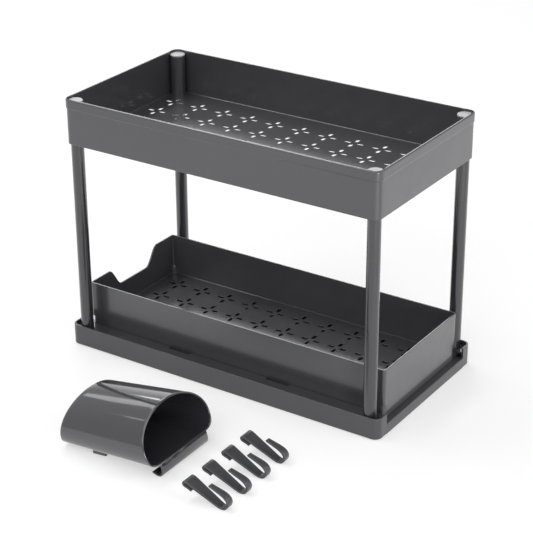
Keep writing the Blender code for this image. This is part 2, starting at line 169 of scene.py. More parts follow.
def soft_lamp(name, place, target, width, height, power):
    """Rectangular area lamp at place that faces target."""
    data = bpy.data.lights.new(name, "AREA")
    data.shape = "RECTANGLE"
    data.size = width
    data.size_y = height
    data.energy = power
    lamp = bpy.data.objects.new(name, data)
    lamp.location = place
    lamp.rotation_euler = (Vector(target) - Vector(place)).to_track_quat("-Z", "Y").to_euler()
    bpy.context.scene.collection.objects.link(lamp)


# Each lamp has its place, the point that it faces, its width and height, and its power in watts.
soft_lamp("overhead_strip", (-1.1, 0.0, 2.0), (0.0, 0.0, 0.15), 3.0, 0.5, 25.0)
soft_lamp("rear_strip", (-1.6, 2.25, 1.52), (0.0, 0.0, 0.15), 1.5, 0.55, 9.5)
soft_lamp("front_softbox", (0.2, -2.0, 1.8), (0.0, 0.0, 0.1), 2.0, 1.0, 20.0)
soft_lamp("right_softbox", (1.9, 0.5, 1.3), (0.0, 0.0, 0.1), 1.0, 1.0, 11.5)
soft_lamp("low_front_right_softbox", (1.28, -0.785, 0.2), (0.0, 0.0, 0.2), 0.3, 0.4, 7.5)
soft_lamp("rear_left_strip", (-1.14, 0.46, 0.92), (0.0, -0.24, 0.05), 0.26, 0.17, 0.22)
soft_lamp("left_strip", (-1.14, -0.25, 1.16), (0.05, -0.26, 0.05), 0.08, 0.08, 0.03)

# Top tray
# One injection moulding in charcoal ABS: 1.8 mm walls, a slightly thicker rim band and a floor
# pierced by flowers of four long petals. It sits on the posts by the sleeves in its corners.
tray_wall_half = (0.19425, 0.10175)
tray_corner = 0.0078
tray_wall = 0.0018
tray_floor = (0.2445, 0.2457)
tray_rim_z = 0.2960
tray_band_z = 0.2852
tray_band_step = 0.00075
tray_band_slope = (0.0006, 0.0002)
tray_recess_z = 0.2917
tray_recess_blend = 0.0012
tray_flower_pitch = (0.0342, 0.0338)
tray_flower_count = (11, 5)
tray_flower_shift = (0.0, -0.0026)
post_place = (0.18525, 0.09275)
recess_radius = 0.0086
recess_spread = 0.3
rim_fillet = 0.0004
band_fillets = (0.0014, 0.0010, 0.0002)
floor_fillet = 0.0007
underside_fillet = 0.0010
corner_steps = 12
# How far the walls' mesh reaches in over the floor, on top and underneath.
tray_floor_lap = (0.0040, 0.0050)
# Less than any step of a profile, to tell its rows apart.
hair = 0.00001
# Points closer than weld become one, and edges shorter than no_length go.
weld = 2e-6
no_length = 1e-7


def closed_solid(name, patches, flats=(), crease=32):
    """Weld grids of points, each (..., rows, columns, 3), and flat polygons into one outward solid."""
    points, faces, start = [], [], 0
    for patch in patches:
        patch = np.asarray(patch, float)
        rows, columns = patch.shape[-3:-1]
        index = start + np.arange(patch.size // 3).reshape(-1, rows, columns)
        corners = [index[:, :-1, :-1], index[:, 1:, :-1], index[:, 1:, 1:], index[:, :-1, 1:]]
        faces += np.stack(corners, axis=-1).reshape(-1, 4).tolist()
        points.append(patch.reshape(-1, 3))
        start += patch.size // 3
    for flat in flats:
        faces.append(list(range(start, start + len(flat))))
        points.append(np.asarray(flat, float))
        start += len(flat)
    mesh = bpy.data.meshes.new(name)
    mesh.from_pydata(np.concatenate(points).tolist(), [], faces)
    body = bmesh.new()
    body.from_mesh(mesh)
    bmesh.ops.remove_doubles(body, verts=body.verts, dist=weld)
    bmesh.ops.dissolve_degenerate(body, edges=body.edges, dist=no_length)
    bmesh.ops.recalc_face_normals(body, faces=body.faces)
    body.to_mesh(mesh)
    body.free()
    mesh.polygons.foreach_set("use_smooth", np.ones(len(mesh.polygons), bool))
    mesh.set_sharp_from_angle(angle=math.radians(crease))
    piece = bpy.data.objects.new(name, mesh)
    bpy.context.scene.collection.objects.link(piece)
    return piece


def rounded_profile(corners, closed=False, steps=4):
    """Polyline of (offset, level, radius) with each corner turned into a tangent arc.

    The arc leaves each side radius / tan(half the corner's angle) before the corner, and one more
    point stands a little further out on each side, so that the flats stay flat when shaded. A
    closed profile ends on its first point again.
    """
    flat = np.array([c[:2] for c in corners], float)
    rows = []
    for i, here in enumerate(flat):
        radius = corners[i][2]
        ends = not closed and i in (0, len(corners) - 1)
        if ends or radius == 0:
            rows.append(here[None])
            continue
        back = flat[i - 1] - here
        on = flat[(i + 1) % len(corners)] - here
        back, on = back / np.linalg.norm(back), on / np.linalg.norm(on)
        half = math.acos(np.clip(back @ on, -1, 1)) / 2
        leave = radius / math.tan(half)
        middle = here + (back + on) / np.linalg.norm(back + on) * radius / math.sin(half)
        span = math.pi - 2 * half
        share = np.linspace(0, 1, steps + 1)[:, None]
        first, last = here + back * leave - middle, here + on * leave - middle
        swing = np.sin((1 - share) * span) * first + np.sin(share * span) * last
        arc = middle + swing / math.sin(span)
        spare = 0.35 * radius
        rows += [here[None] + back * (leave + spare), arc, here[None] + on * (leave + spare)]
    if closed:
        rows.append(rows[0][:1])
    return np.concatenate(rows)


def round_frame(x_marks, y_marks, arc_steps):
    """Columns round a rounded rectangle: straight shares (cx, cy), outward normal, corner flag.

    It goes along the front from left to right, up the right side, back along the rear and down
    the left side, and ends on its first column again.
    """
    turns = np.linspace(0, math.pi / 2, arc_steps + 1)[1:-1]
    sides = [
        (x_marks, -np.ones_like(x_marks), -math.pi / 2),
        (np.ones_like(y_marks), y_marks, 0.0),
        (x_marks[::-1], np.ones_like(x_marks), math.pi / 2),
        (-np.ones_like(y_marks), y_marks[::-1], math.pi),
    ]
    columns = []
    for cx, cy, angle in sides:
        flat = np.column_stack([cx, cy, np.full_like(cx, angle), np.zeros_like(cx)])
        ends = [np.full_like(turns, cx[-1]), np.full_like(turns, cy[-1])]
        arc = np.column_stack([*ends, angle + turns, np.ones_like(turns)])
        columns += [flat, arc]
    columns = np.concatenate(columns)
    return np.concatenate([columns, columns[:1]])


def carry(columns, half, corner, offset, level, centre=(0.0, 0.0)):
    """Profile rows carried round the frame: share * (half + offset - radius) + radius * normal."""
    cx, cy, angle, _ = columns.T
    offset = np.atleast_1d(offset)[:, None]
    radius = np.maximum(corner + offset, 0.0)
    x = centre[0] + cx * (half[0] + offset - radius) + radius * np.cos(angle)
    y = centre[1] + cy * (half[1] + offset - radius) + radius * np.sin(angle)
    z = np.broadcast_to(np.atleast_1d(level)[:, None], x.shape)
    return np.stack([x, y, z], axis=-1)


def carry_recess(columns, half, offset, level):
    """As carry, but each corner follows the round recess of the cap: a circle about the post.

    The circle's radius grows by recess_spread of the offset. The straight walls stop where they
    meet it, and the corner's quarter turn is stretched to start and end there too.
    """
    cx, cy, angle, corner = columns.T
    offset = np.atleast_1d(offset)[:, None]
    reach = recess_radius + recess_spread * (offset + tray_wall)
    gap = half[0] + offset - post_place[0]
    side = np.sqrt(reach**2 - gap**2)
    nx, ny = np.cos(angle), np.sin(angle)
    flat_x = np.where(abs(nx) > 0.5, nx * (half[0] + offset), cx * (post_place[0] - side))
    flat_y = np.where(abs(nx) > 0.5, cy * (post_place[1] - side), ny * (half[1] + offset))
    middle = np.sign(cy) * np.where(cx > 0, math.pi / 4, 3 * math.pi / 4)
    turn = (angle - middle + math.pi) % (2 * math.pi) - math.pi
    swing = middle + turn * (1 + 4 / math.pi * np.arctan2(side, gap))
    round_x = np.sign(cx) * post_place[0] + reach * np.cos(swing)
    round_y = np.sign(cy) * post_place[1] + reach * np.sin(swing)
    x = np.where(corner > 0.5, round_x, flat_x)
    y = np.where(corner > 0.5, round_y, flat_y)
    z = np.broadcast_to(np.atleast_1d(level)[:, None], x.shape)
    return np.stack([x, y, z], axis=-1)


# Real sizes of the patterns in mm: colour drift, cloudy gloss, waves of the cooling skin, texture.
drift_mm = 62.5
haze_mm = 22.22
wave_mm = 9.09
grain_mm = 0.5
wave_depth = 0.004
grain_depth = 0.0002
# A noise lies between these values nearly everywhere.
noise_low = 0.3
noise_high = 0.7


def moulded_plastic(name, colour, gloss, coat, peel=0.012, grain=0.02, drift=0.06):
    """Injection-moulded plastic: a little colour drift, a wavy skin and a fine grain.

    colour is an sRGB hex code, gloss the lowest and highest roughness, and coat the weight and
    roughness of the polished skin. drift is the share by which the colour drifts, and peel and
    grain are the strengths of the skin's waves and of its texture.
    """
    material = bpy.data.materials.new(name)
    material.use_nodes = True
    tree = material.node_tree
    tree.nodes.clear()
    where = add_node(tree, "ShaderNodeTexCoord").outputs["Object"]
    flow = add_node(tree, "ShaderNodeTexNoise", {"Vector": where}, Scale=1000 / drift_mm, Detail=3.0)
    tint = add_node(
        tree,
        "ShaderNodeMapRange",
        {"Value": flow.outputs["Fac"]},
        in_1=noise_low,
        in_2=noise_high,
        in_3=1 - drift,
        in_4=1 + drift,
    )
    base = add_node(tree, "ShaderNodeRGB")
    base.outputs[0].default_value = linear(colour)
    shade = add_node(
        tree,
        "ShaderNodeVectorMath",
        {0: base.outputs[0], "Scale": tint.outputs[0]},
        operation="SCALE",
    )
    cloud = add_node(
        tree,
        "ShaderNodeTexNoise",
        {"Vector": where},
        Scale=1000 / haze_mm,
        Detail=4.0,
        Roughness=0.6,
    )
    haze = add_node(
        tree,
        "ShaderNodeMapRange",
        {"Value": cloud.outputs["Fac"]},
        in_1=noise_low,
        in_2=noise_high,
        in_3=gloss[0],
        in_4=gloss[1],
    )
    wave = add_node(tree, "ShaderNodeTexNoise", {"Vector": where}, Scale=1000 / wave_mm, Detail=1.0)
    fine = add_node(tree, "ShaderNodeTexNoise", {"Vector": where}, Scale=1000 / grain_mm, Detail=2.0)
    skin = add_node(
        tree,
        "ShaderNodeBump",
        {"Height": wave.outputs["Fac"]},
        Strength=peel,
        Distance=wave_depth,
    )
    bumps = add_node(
        tree,
        "ShaderNodeBump",
        {"Height": fine.outputs["Fac"], "Normal": skin.outputs[0]},
        Strength=grain,
        Distance=grain_depth,
    )
    shader = add_node(
        tree,
        "ShaderNodeBsdfPrincipled",
        {"Base Color": shade.outputs[0], "Roughness": haze.outputs[0], "Normal": bumps.outputs[0]},
        IOR=1.53,
    )
    shader.inputs["Coat Weight"].default_value = coat[0]
    shader.inputs["Coat Roughness"].default_value = coat[1]
    add_node(tree, "ShaderNodeOutputMaterial", {"Surface": shader.outputs[0]})
    return material


# ABS moulded against polished steel: near-mirror at a low angle, soft grey reflections face on,
# with the slow waves of the cooling skin. Charcoal pigment all through.
tray_plastic = moulded_plastic("charcoal_gloss_abs", "#3d3d41", (0.34, 0.42), (0.9, 0.15))

petal_half = 0.0040
petal_radius = 0.0018
petal_reach = 0.0076
petal_edge = 0.00010
petal_flare = 0.0006
cell_end = 0.0125
cell_steps = 8
spoke_shares = np.array([0.0, 0.12, 0.20, 0.28, 0.38, 0.55, 1.0])
half_degrees = 720


def petal_ring(grow, count):
    """Stadium of petal_half by petal_radius, wider by grow, at even steps from its inner tip.

    It is a circle whose left and right halves stand run to either side of the middle.
    """
    angle = np.linspace(math.pi, 3 * math.pi, half_degrees + 1)
    run = petal_half - petal_radius
    radius = petal_radius + grow
    halves = np.sign(np.round(np.cos(angle), 9)) * run
    edge = np.stack([halves + radius * np.cos(angle), radius * np.sin(angle)], axis=1)
    length = np.concatenate([[0], np.cumsum(np.linalg.norm(np.diff(edge, axis=0), axis=1))])
    want = np.linspace(0, length[-1], count)
    return np.stack([np.interp(want, length, edge[:, axis]) for axis in (0, 1)], axis=1)


def flower_cells(pitch, count, shift, levels):
    """Floor of count[0] by count[1] cells, one flower each, and the marks along the floor's edge.

    Each cell is split by its diagonals into four triangles. A triangle is the grid between its
    own outline and the outline of the petal inside it, on the top face, down the hole, which
    flares towards its foot, and on the underside.
    """
    low, high = levels
    middle = [shift[i] + (np.arange(count[i]) - (count[i] - 1) / 2) * pitch[i] for i in (0, 1)]
    edges = [np.concatenate([[m[0] - cell_end], (m[1:] + m[:-1]) / 2, [m[-1] + cell_end]]) for m in middle]
    fx, fy = np.meshgrid(*middle, indexing="ij")
    x0, y0 = np.meshgrid(edges[0][:-1], edges[1][:-1], indexing="ij")
    x1, y1 = np.meshgrid(edges[0][1:], edges[1][1:], indexing="ij")
    flower = np.stack([fx, fy], axis=-1).reshape(-1, 1, 2)
    corner = np.stack([x1, y0, x1, y1, x0, y1, x0, y0], axis=-1).reshape(-1, 4, 1, 2)
    following = np.roll(corner, -1, axis=1)
    spoke = spoke_shares[:, None]
    side = np.linspace(0, 1, cell_steps + 1)[1:, None]
    hub = flower[:, :, None]
    out_leg = hub + spoke * (corner - hub)
    rim_leg = corner + side * (following - corner)
    back_leg = hub + spoke[::-1][1:] * (following - hub)
    outline = np.concatenate([out_leg, rim_leg, back_leg], axis=2)
    steps = outline.shape[2]
    turn = np.arange(4) * math.pi / 2
    facing = np.stack([np.cos(turn), np.sin(turn)], axis=-1)[:, None]
    across = np.stack([-np.sin(turn), np.cos(turn)], axis=-1)[:, None]
    holes = []
    for grow in (petal_edge, 0.0, petal_flare):
        ring = petal_ring(grow, steps)
        place = facing * (petal_reach + ring[:, :1]) + across * ring[:, 1:]
        holes.append(hub + place[None])
    flats = [outline, *holes, outline]
    heights = [high, high, high - petal_edge, low, low]
    rows = [np.concatenate([f, np.full((*f.shape[:-1], 1), z)], axis=-1) for f, z in zip(flats, heights)]
    marks = []
    for line in edges:
        fine = [np.linspace(a, b, cell_steps + 1)[:-1] for a, b in zip(line[:-1], line[1:])]
        marks.append(np.concatenate([*fine, line[-1:]]))
    centre = [(line[0] + line[-1]) / 2 for line in edges]
    half = [(line[-1] - line[0]) / 2 for line in edges]
    shares = [(m - c) / h for m, c, h in zip(marks, centre, half)]
    return np.stack(rows, axis=2), centre, half, shares


cells, field_centre, field_half, field_marks = flower_cells(
    tray_flower_pitch, tray_flower_count, tray_flower_shift, tray_floor
)
tray_columns = round_frame(*field_marks, corner_steps)
tray_profile = rounded_profile(
    [
        (-tray_wall - tray_floor_lap[0], tray_floor[1], 0),
        (-tray_wall, tray_floor[1], floor_fillet),
        (-tray_wall, tray_recess_z - tray_recess_blend, 0),
        (-tray_wall, tray_recess_z, 0),
        (-tray_wall, tray_rim_z, rim_fillet),
        (tray_band_step, tray_rim_z, band_fillets[0]),
        (tray_band_step, tray_band_z + tray_band_slope[0], band_fillets[1]),
        (0.0, tray_band_z - tray_band_slope[1], band_fillets[2]),
        (0.0, tray_floor[0], underside_fillet),
        (-tray_floor_lap[1], tray_floor[0], 0),
    ]
)
tray_rows = carry(tray_columns, tray_wall_half, tray_corner, *tray_profile.T)
inside = tray_profile[:, 0] < -tray_wall + rim_fillet + hair
raised = inside & (tray_profile[:, 1] > tray_recess_z - hair)
tray_rows[raised] = carry_recess(tray_columns, tray_wall_half, *tray_profile[raised].T)
field_edges = [carry(tray_columns, field_half, 0.0, 0.0, z, field_centre) for z in tray_floor]
top_tray = closed_solid(
    "top_tray_moulding",
    [
        cells,
        np.concatenate([field_edges[1], tray_rows[:1]]),
        tray_rows,
        np.concatenate([tray_rows[-1:], field_edges[0]]),
    ],
)
top_tray.data.materials.append(tray_plastic)
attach(top_tray, "stand")
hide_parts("top_tray")


# Sleeves
# A short tube stands in each corner of the top tray, moulded with it. The post enters it from
# below and the cap's plug from above.
sleeve_radius = 0.0085
sleeve_bore = 0.0074
sleeve_seat = 0.0060
sleeve_foot_z = tray_floor[0] + 0.0010
sleeve_fillet = 0.0003
plug_level = 0.2870
corner_names = ["front_left", "front_right", "rear_left", "rear_right"]
corner_places = [(x * post_place[0], y * post_place[1]) for y in (-1, 1) for x in (-1, 1)]


def turned(profile, place, steps=64):
    """Profile rows of (radius, level) turned once round an axis: place + radius * (cos, sin)."""
    angle = np.linspace(0, 2 * math.pi, steps + 1)
    radius, level = np.array(profile).T[:, :, None]
    x = place[0] + radius * np.cos(angle)
    y = place[1] + radius * np.sin(angle)
    return np.stack([x, y, np.broadcast_to(level, x.shape)], axis=-1)


sleeve_profile = rounded_profile(
    [
        (sleeve_bore, sleeve_foot_z, 0),
        (sleeve_radius, sleeve_foot_z, 0),
        (sleeve_radius, tray_floor[1], 0),
        (sleeve_radius, tray_recess_z, sleeve_fillet),
        (sleeve_seat, tray_recess_z, sleeve_fillet),
        (sleeve_seat, plug_level, 0),
        (sleeve_bore, plug_level, 0),
    ],
    closed=True,
)
for name, place in zip(corner_names, corner_places):
    sleeve = closed_solid("sleeve_" + name, [turned(sleeve_profile, place)])
    sleeve.data.materials.append(tray_plastic)
    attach(sleeve, "stand")


# Posts
# Four round tubes of 14 mm, extruded and cut to length, pushed into the base's sockets and the
# tray's sleeves. Nothing but the tight fit holds them.
post_radius = 0.0071
post_bore = 0.0055
post_levels = (0.0038, 0.2867)
post_fillets = (0.0003, 0.0004)
post_profile = rounded_profile(
    [
        (post_bore, post_levels[0], post_fillets[0]),
        (post_radius, post_levels[0], post_fillets[1]),
        (post_radius, post_levels[1], post_fillets[1]),
        (post_bore, post_levels[1], post_fillets[0]),
    ],
    closed=True,
)
# The same ABS, extruded: the die leaves a smoother and glossier skin than a mould.
post_plastic = moulded_plastic(
    "charcoal_tube_abs", "#27272b", (0.26, 0.34), (1.0, 0.04), peel=0.006, grain=0.01
)
for name, place in zip(corner_names, corner_places):
    post = closed_solid("tube_post_" + name, [turned(post_profile, place, steps=72)])
    post.data.materials.append(post_plastic)
    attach(post, "stand")
    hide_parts("post_" + name)


# Caps
# A disc with a soft edge closes each sleeve, moulded in polypropylene; its pale grey is a painted
# highlight. Its plug is pushed into the sleeve and held there by friction.
cap_radius = 0.0083
cap_levels = (0.2920, 0.2935)
cap_fillets = (0.0002, 0.0006)
plug_radius = 0.0057
plug_foot_z = 0.2873
plug_fillet = 0.0004
cap_profile = rounded_profile(
    [
        (0.0, plug_foot_z, 0),
        (plug_radius, plug_foot_z, plug_fillet),
        (plug_radius, cap_levels[0], 0),
        (cap_radius, cap_levels[0], cap_fillets[0]),
        (cap_radius, cap_levels[1], cap_fillets[1]),
        (0.0, cap_levels[1], 0),
    ]
)
# Soft polypropylene, unpolished and almost matt, with a broad weak shine. Its pale grey colour is
# a painted highlight: it stands in for the bright light that the caps' tops mirror.
cap_plastic_painted_highlight = moulded_plastic(
    "polypropylene_painted_highlight",
    "#bcbcbe",
    (0.42, 0.52),
    (0.0, 0.3),
    peel=0.02,
    grain=0.06,
    drift=0.02,
)
for name, place in zip(corner_names, corner_places):
    cap = closed_solid("soft_cap_" + name, [turned(cap_profile, place, steps=48)])
    cap.data.materials.append(cap_plastic_painted_highlight)
    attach(cap, "stand")
    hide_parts("cap_" + name)


# Drawer
# A deep basket of the same ABS with the same pierced floor, a short skirt that slides in the
# base's channel and a scooped end to pull it by. Its lower corners are drawn in round.
drawer_half = (0.1920, 0.0785)
drawer_centre = (0.0018, 0.0)
drawer_corner = 0.0035
drawer_low_corner = 0.0065
drawer_skirt_z = 0.0131
drawer_floor = (0.0195, 0.0207)
drawer_rim_z = 0.0700
drawer_floor_lap = (0.0030, 0.0050)
drawer_flower_pitch = (0.0346, 0.0342)
drawer_flower_count = (10, 4)
drawer_flower_shift = (-0.0073, 0.0)
# The round lower corners turn into tighter ones about relief_z, over 1.6 mm inside, 0.9 outside.
relief_z = 0.0285
relief_inside = 0.0016
relief_outside = (0.0001, 0.0008)
skirt_fillets = (0.0004, 0.0003)
scoop_flat = 0.0235
scoop_half = 0.0455
scoop_depth = 0.0225
scoop_foot_z = 0.0310
scoop_rim = 0.0013
scoop_margin = 0.0010
cells, field_centre, field_half, field_marks = flower_cells(
    drawer_flower_pitch, drawer_flower_count, drawer_flower_shift, drawer_floor
)
# The scoop's curve needs more columns than the floor's edge has marks: three to each of them.
columns_a_mark = 3
ends = field_marks[1]
fine = [np.linspace(a, b, columns_a_mark + 1)[:-1] for a, b in zip(ends[:-1], ends[1:])]
drawer_columns = round_frame(field_marks[0], np.concatenate([*fine, [1.0]]), corner_steps)
snapped = np.concatenate([np.repeat(ends[:-1], columns_a_mark), [1.0]])
field_columns = round_frame(field_marks[0], snapped, corner_steps)
drawer_profile = rounded_profile(
    [
        (-tray_wall - drawer_floor_lap[0], drawer_floor[1], 0),
        (-tray_wall, drawer_floor[1], floor_fillet),
        (-tray_wall, relief_z, 0),
        (-tray_wall, relief_z + relief_inside, 0),
        (-tray_wall, drawer_rim_z, rim_fillet),
        (0.0, drawer_rim_z, rim_fillet),
        (0.0, relief_z + relief_outside[0], 0),
        (0.0, relief_z - relief_outside[1], 0),
        (0.0, drawer_skirt_z, skirt_fillets[0]),
        (-tray_wall, drawer_skirt_z, skirt_fillets[0]),
        (-tray_wall, drawer_floor[0], skirt_fillets[1]),
        (-drawer_floor_lap[1], drawer_floor[0], 0),
    ]
)
offset, level = drawer_profile.T
low = (level < relief_z + relief_outside[0] / 2)[:, None]
corner = np.where(low, drawer_low_corner, drawer_corner)
drawer_rows = carry(drawer_columns, drawer_half, corner, offset, level, drawer_centre)
# The scoop: half a cosine wave down to its flat, in full at the rim and fading out to its foot.
end_wall = drawer_rows[..., 0] < drawer_centre[0] - drawer_half[0] + tray_wall + scoop_margin
share = np.clip((abs(drawer_rows[..., 1]) - scoop_flat) / (scoop_half - scoop_flat), 0, 1)
drop = scoop_depth * (1 + np.cos(math.pi * share)) / 2
hold = np.clip((level - scoop_foot_z) / (drawer_rim_z - scoop_rim - scoop_foot_z), 0, 1)[:, None]
drawer_rows[..., 2] -= np.where(end_wall, drop * hold, 0.0)
field_edges = [carry(field_columns, field_half, 0.0, 0.0, z, field_centre) for z in drawer_floor]
drawer = closed_solid(
    "drawer_moulding",
    [
        cells,
        np.concatenate([field_edges[1], drawer_rows[:1]]),
        drawer_rows,
        np.concatenate([drawer_rows[-1:], field_edges[0]]),
    ],
)
drawer.data.materials.append(tray_plastic)
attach(drawer, "drawer")
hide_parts("drawer")


# Drawer stops
# Two lugs under the drawer's floor, moulded with it, run in slots of the base's channel and end
# its travel.
lug_place = (0.1718, 0.0500)
lug_size = (0.0060, 0.0050)
lug_levels = (0.0090, 0.0201)
block_marks = np.array([-1.0, 0.0, 1.0])
block_columns = round_frame(block_marks, block_marks, 4)


def block(name, place, size, levels, corner=0.0006, edge=0.0003):
    """Small block with rounded upright corners and soft top and bottom edges."""
    flat = -0.6 * corner - edge
    profile = rounded_profile(
        [(flat, levels[0], 0), (0.0, levels[0], edge), (0.0, levels[1], edge), (flat, levels[1], 0)],
        steps=3,
    )
    rows = carry(block_columns, (size[0] / 2, size[1] / 2), corner, *profile.T, place)
    return closed_solid(name, [rows], [rows[0, :-1], rows[-1, :-1]])


for name, side in (("front", -1), ("rear", 1)):
    lug = block("drawer_stop_" + name, (lug_place[0], side * lug_place[1]), lug_size, lug_levels)
    lug.data.materials.append(tray_plastic)
    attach(lug, "drawer")


# Base rails
# The base is one ABS moulding: here its two long sides, each an outer wall with a raised rim, a
# ledge 5 mm below it and the wall of the drawer's channel, with two cut-outs in the ledge.
base_half = (0.2010, 0.1025)
base_corner = 0.0085
base_foot_z = 0.0010
plate_under_z = 0.0108
plate_top_z = 0.0128
ledge_under_z = 0.0177
ledge_top_z = 0.0197
base_rim_z = 0.0250
channel_half = 0.0790
notch_half = 0.0845
rail_end = 0.1905
rail_wall = 0.0020
rail_width = base_half[1] - channel_half
cutout_marks = np.array([0.04925, 0.05125, 0.07775, 0.07975])
cutout_depth = 0.0040
shoulder = 0.0040
rail_foot_fillet = 0.0007
base_rim_fillet = 0.0005
ledge_fillets = (0.0008, 0.0004)
rail_profile = rounded_profile(
    [
        (0.0, base_foot_z, rail_foot_fillet),
        (0.0, base_rim_z, base_rim_fillet),
        (rail_wall, base_rim_z, base_rim_fillet),
        (rail_wall, ledge_top_z, ledge_fillets[0]),
        (shoulder, ledge_top_z, 0),
        (rail_width, ledge_top_z, ledge_fillets[1]),
        (rail_width, plate_under_z, 0),
        (rail_width - rail_wall, plate_under_z, 0),
        (rail_width - rail_wall, ledge_under_z, 0),
        (rail_wall, ledge_under_z, 0),
        (rail_wall, base_foot_z, 0),
    ],
    closed=True,
)
breaks = np.concatenate([-cutout_marks[::-1], cutout_marks]) / rail_end
rail_marks = np.unique(np.round(np.concatenate([breaks, np.linspace(-1, 1, 41)]), 6))
cutout_levels = [0, cutout_depth, cutout_depth, 0]
cutout_curve = np.interp(abs(rail_marks) * rail_end, cutout_marks, cutout_levels)
turns = np.linspace(0, math.pi / 2, corner_steps + 1)[1:-1]
end_shares = np.linspace(0, 1, 6)


def rail_rows(side):
    """Rail profile carried along the base's long side and round both corners to the end notches.

    A row within the shoulder runs round the outer corner at its own distance. Further in, it is
    blended with the ledge's inner edge, which stops at the notch instead of turning with it.
    """
    offset, level = rail_profile.T[:, :, None]
    outer = np.minimum(offset, shoulder)
    radius = base_corner - outer
    front = np.broadcast_to(rail_marks, (len(offset), len(rail_marks)))
    out_x = [front * (base_half[0] - base_corner)]
    out_y = [np.broadcast_to(base_half[1] - outer, front.shape)]
    out_x.append(base_half[0] - base_corner + radius * np.sin(turns))
    out_y.append(base_half[1] - base_corner + radius * np.cos(turns))
    out_x.append(np.broadcast_to(base_half[0] - outer, (len(offset), len(end_shares))))
    run = base_half[1] - base_corner
    out_y.append(np.broadcast_to(run + end_shares * (notch_half - run), out_x[2].shape))
    in_x = np.concatenate([rail_marks * rail_end, np.full(len(turns) + len(end_shares), rail_end)])
    step = np.linspace(0, 1, len(turns) + 2)[1:-1]
    turned_in = channel_half + step * (notch_half - channel_half)
    in_y = np.concatenate([channel_half + cutout_curve, turned_in, np.full(len(end_shares), notch_half)])
    blend = np.clip((offset - shoulder) / (rail_width - shoulder), 0, 1)
    x = (1 - blend) * np.concatenate(out_x, axis=1) + blend * in_x
    y = (1 - blend) * np.concatenate(out_y, axis=1) + blend * in_y
    bend = slice(len(rail_marks), None)
    x = np.concatenate([-x[:, bend][:, ::-1], x], axis=1)
    y = np.concatenate([y[:, bend][:, ::-1], y], axis=1)
    return np.stack([x, side * y, np.broadcast_to(level, x.shape)], axis=-1)


# The same ABS as the trays with a thinner coat. Its colour is a shade darker: painted shade for the
# dimmer light that the base gets low by the floor.
shaded_base_plastic = moulded_plastic("charcoal_abs_painted_shade", "#39393e", (0.36, 0.44), (0.5, 0.06))
for name, side in (("front", -1), ("rear", 1)):
    rows = rail_rows(side)
    rail = closed_solid("base_rail_" + name, [rows], [rows[:-1, 0], rows[:-1, -1]])
    rail.data.materials.append(shaded_base_plastic)
    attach(rail, "stand")
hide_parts("base_tray")


# Base channel
# The plate between the rails that the drawer slides on, 2 mm thick, with the slots for the
# drawer's stops, and turned down at both ends to the floor.
slot_span = (-0.0717, 0.1753)
slot_width = 0.0060
even_half = 0.15
end_round = 0.0008
fold = 0.0002
turn = np.linspace(0, math.pi / 2, 5)
end_x = base_half[0] - end_round + end_round * np.sin(turn)
end_z = plate_top_z - end_round + end_round * np.cos(turn)
wall_x = base_half[0] - rail_wall
# Columns: even ones over the middle, the slots' ends, and close ones where the ends turn down.
end_marks = np.concatenate([end_x, [wall_x - fold, wall_x]])
even_marks = np.linspace(-even_half, even_half, 13)
plate_x = np.concatenate([even_marks, slot_span, end_marks, -end_marks])
plate_x = np.unique(np.round(plate_x, 6))
slot_edges = lug_place[1] + np.array([-0.5, 0.5]) * slot_width
plate_y = np.concatenate([np.linspace(-notch_half, notch_half, 9), slot_edges, -slot_edges])
plate_y = np.unique(np.round(plate_y, 6))
grid_x, grid_y = np.meshgrid(plate_x, plate_y, indexing="ij")
top_z = np.interp(abs(grid_x), end_x, end_z)
under_z = np.where(abs(grid_x) > wall_x - fold / 2, base_foot_z, plate_under_z)
mid_x = (plate_x[1:] + plate_x[:-1])[:, None] / 2
mid_y = (plate_y[1:] + plate_y[:-1])[None] / 2
along_slot = (mid_x > slot_span[0]) & (mid_x < slot_span[1])
across_slot = abs(abs(mid_y) - lug_place[1]) < slot_width / 2
solid = ~(along_slot & across_slot)


def cell_plate(name, x, y, top, under, kept):
    """Plate over the kept cells of a grid, with a wall wherever a kept cell meets none."""
    top = np.stack([x, y, top], axis=-1)
    under = np.stack([x, y, under], axis=-1)
    patches = []
    for face in (top, under):
        cells = np.stack([face[:-1, :-1], face[:-1, 1:], face[1:, :-1], face[1:, 1:]], axis=-2)
        patches.append(cells[kept].reshape(-1, 2, 2, 3))
    padded = np.pad(kept, 1)
    along = padded[1:, 1:-1] != padded[:-1, 1:-1]
    wall = np.stack([top[:, :-1], top[:, 1:], under[:, :-1], under[:, 1:]], axis=-2)
    patches.append(wall[along].reshape(-1, 2, 2, 3))
    across = padded[1:-1, 1:] != padded[1:-1, :-1]
    wall = np.stack([top[:-1], top[1:], under[:-1], under[1:]], axis=-2)
    patches.append(wall[across].reshape(-1, 2, 2, 3))
    return closed_solid(name, patches)


channel = cell_plate("base_channel", grid_x, grid_y, top_z, under_z, solid)
channel.data.materials.append(shaded_base_plastic)
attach(channel, "stand")


# Base underside
# Two stiffening ribs and a round foot under the plate, moulded with it. Guessed: the photograph
# doesn't show the underside.
rib_place = 0.1290
rib_thickness = 0.0016
rib_size = (rib_thickness, 2 * base_half[1] - rail_wall)
foot_radius = 0.0120
foot_fillet = 0.0008
in_plate_z = plate_under_z + 0.0010
for name, side in (("left", -1), ("right", 1)):
    rib = block("base_rib_" + name, (side * rib_place, 0.0), rib_size, (base_foot_z, in_plate_z))
    rib.data.materials.append(shaded_base_plastic)
    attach(rib, "stand")
foot_profile = rounded_profile(
    [(0, 0, 0), (foot_radius, 0, foot_fillet), (foot_radius, in_plate_z, 0), (0, in_plate_z, 0)]
)
foot = closed_solid("base_foot", [turned(foot_profile, (0, 0), steps=48)])
foot.data.materials.append(shaded_base_plastic)
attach(foot, "stand")


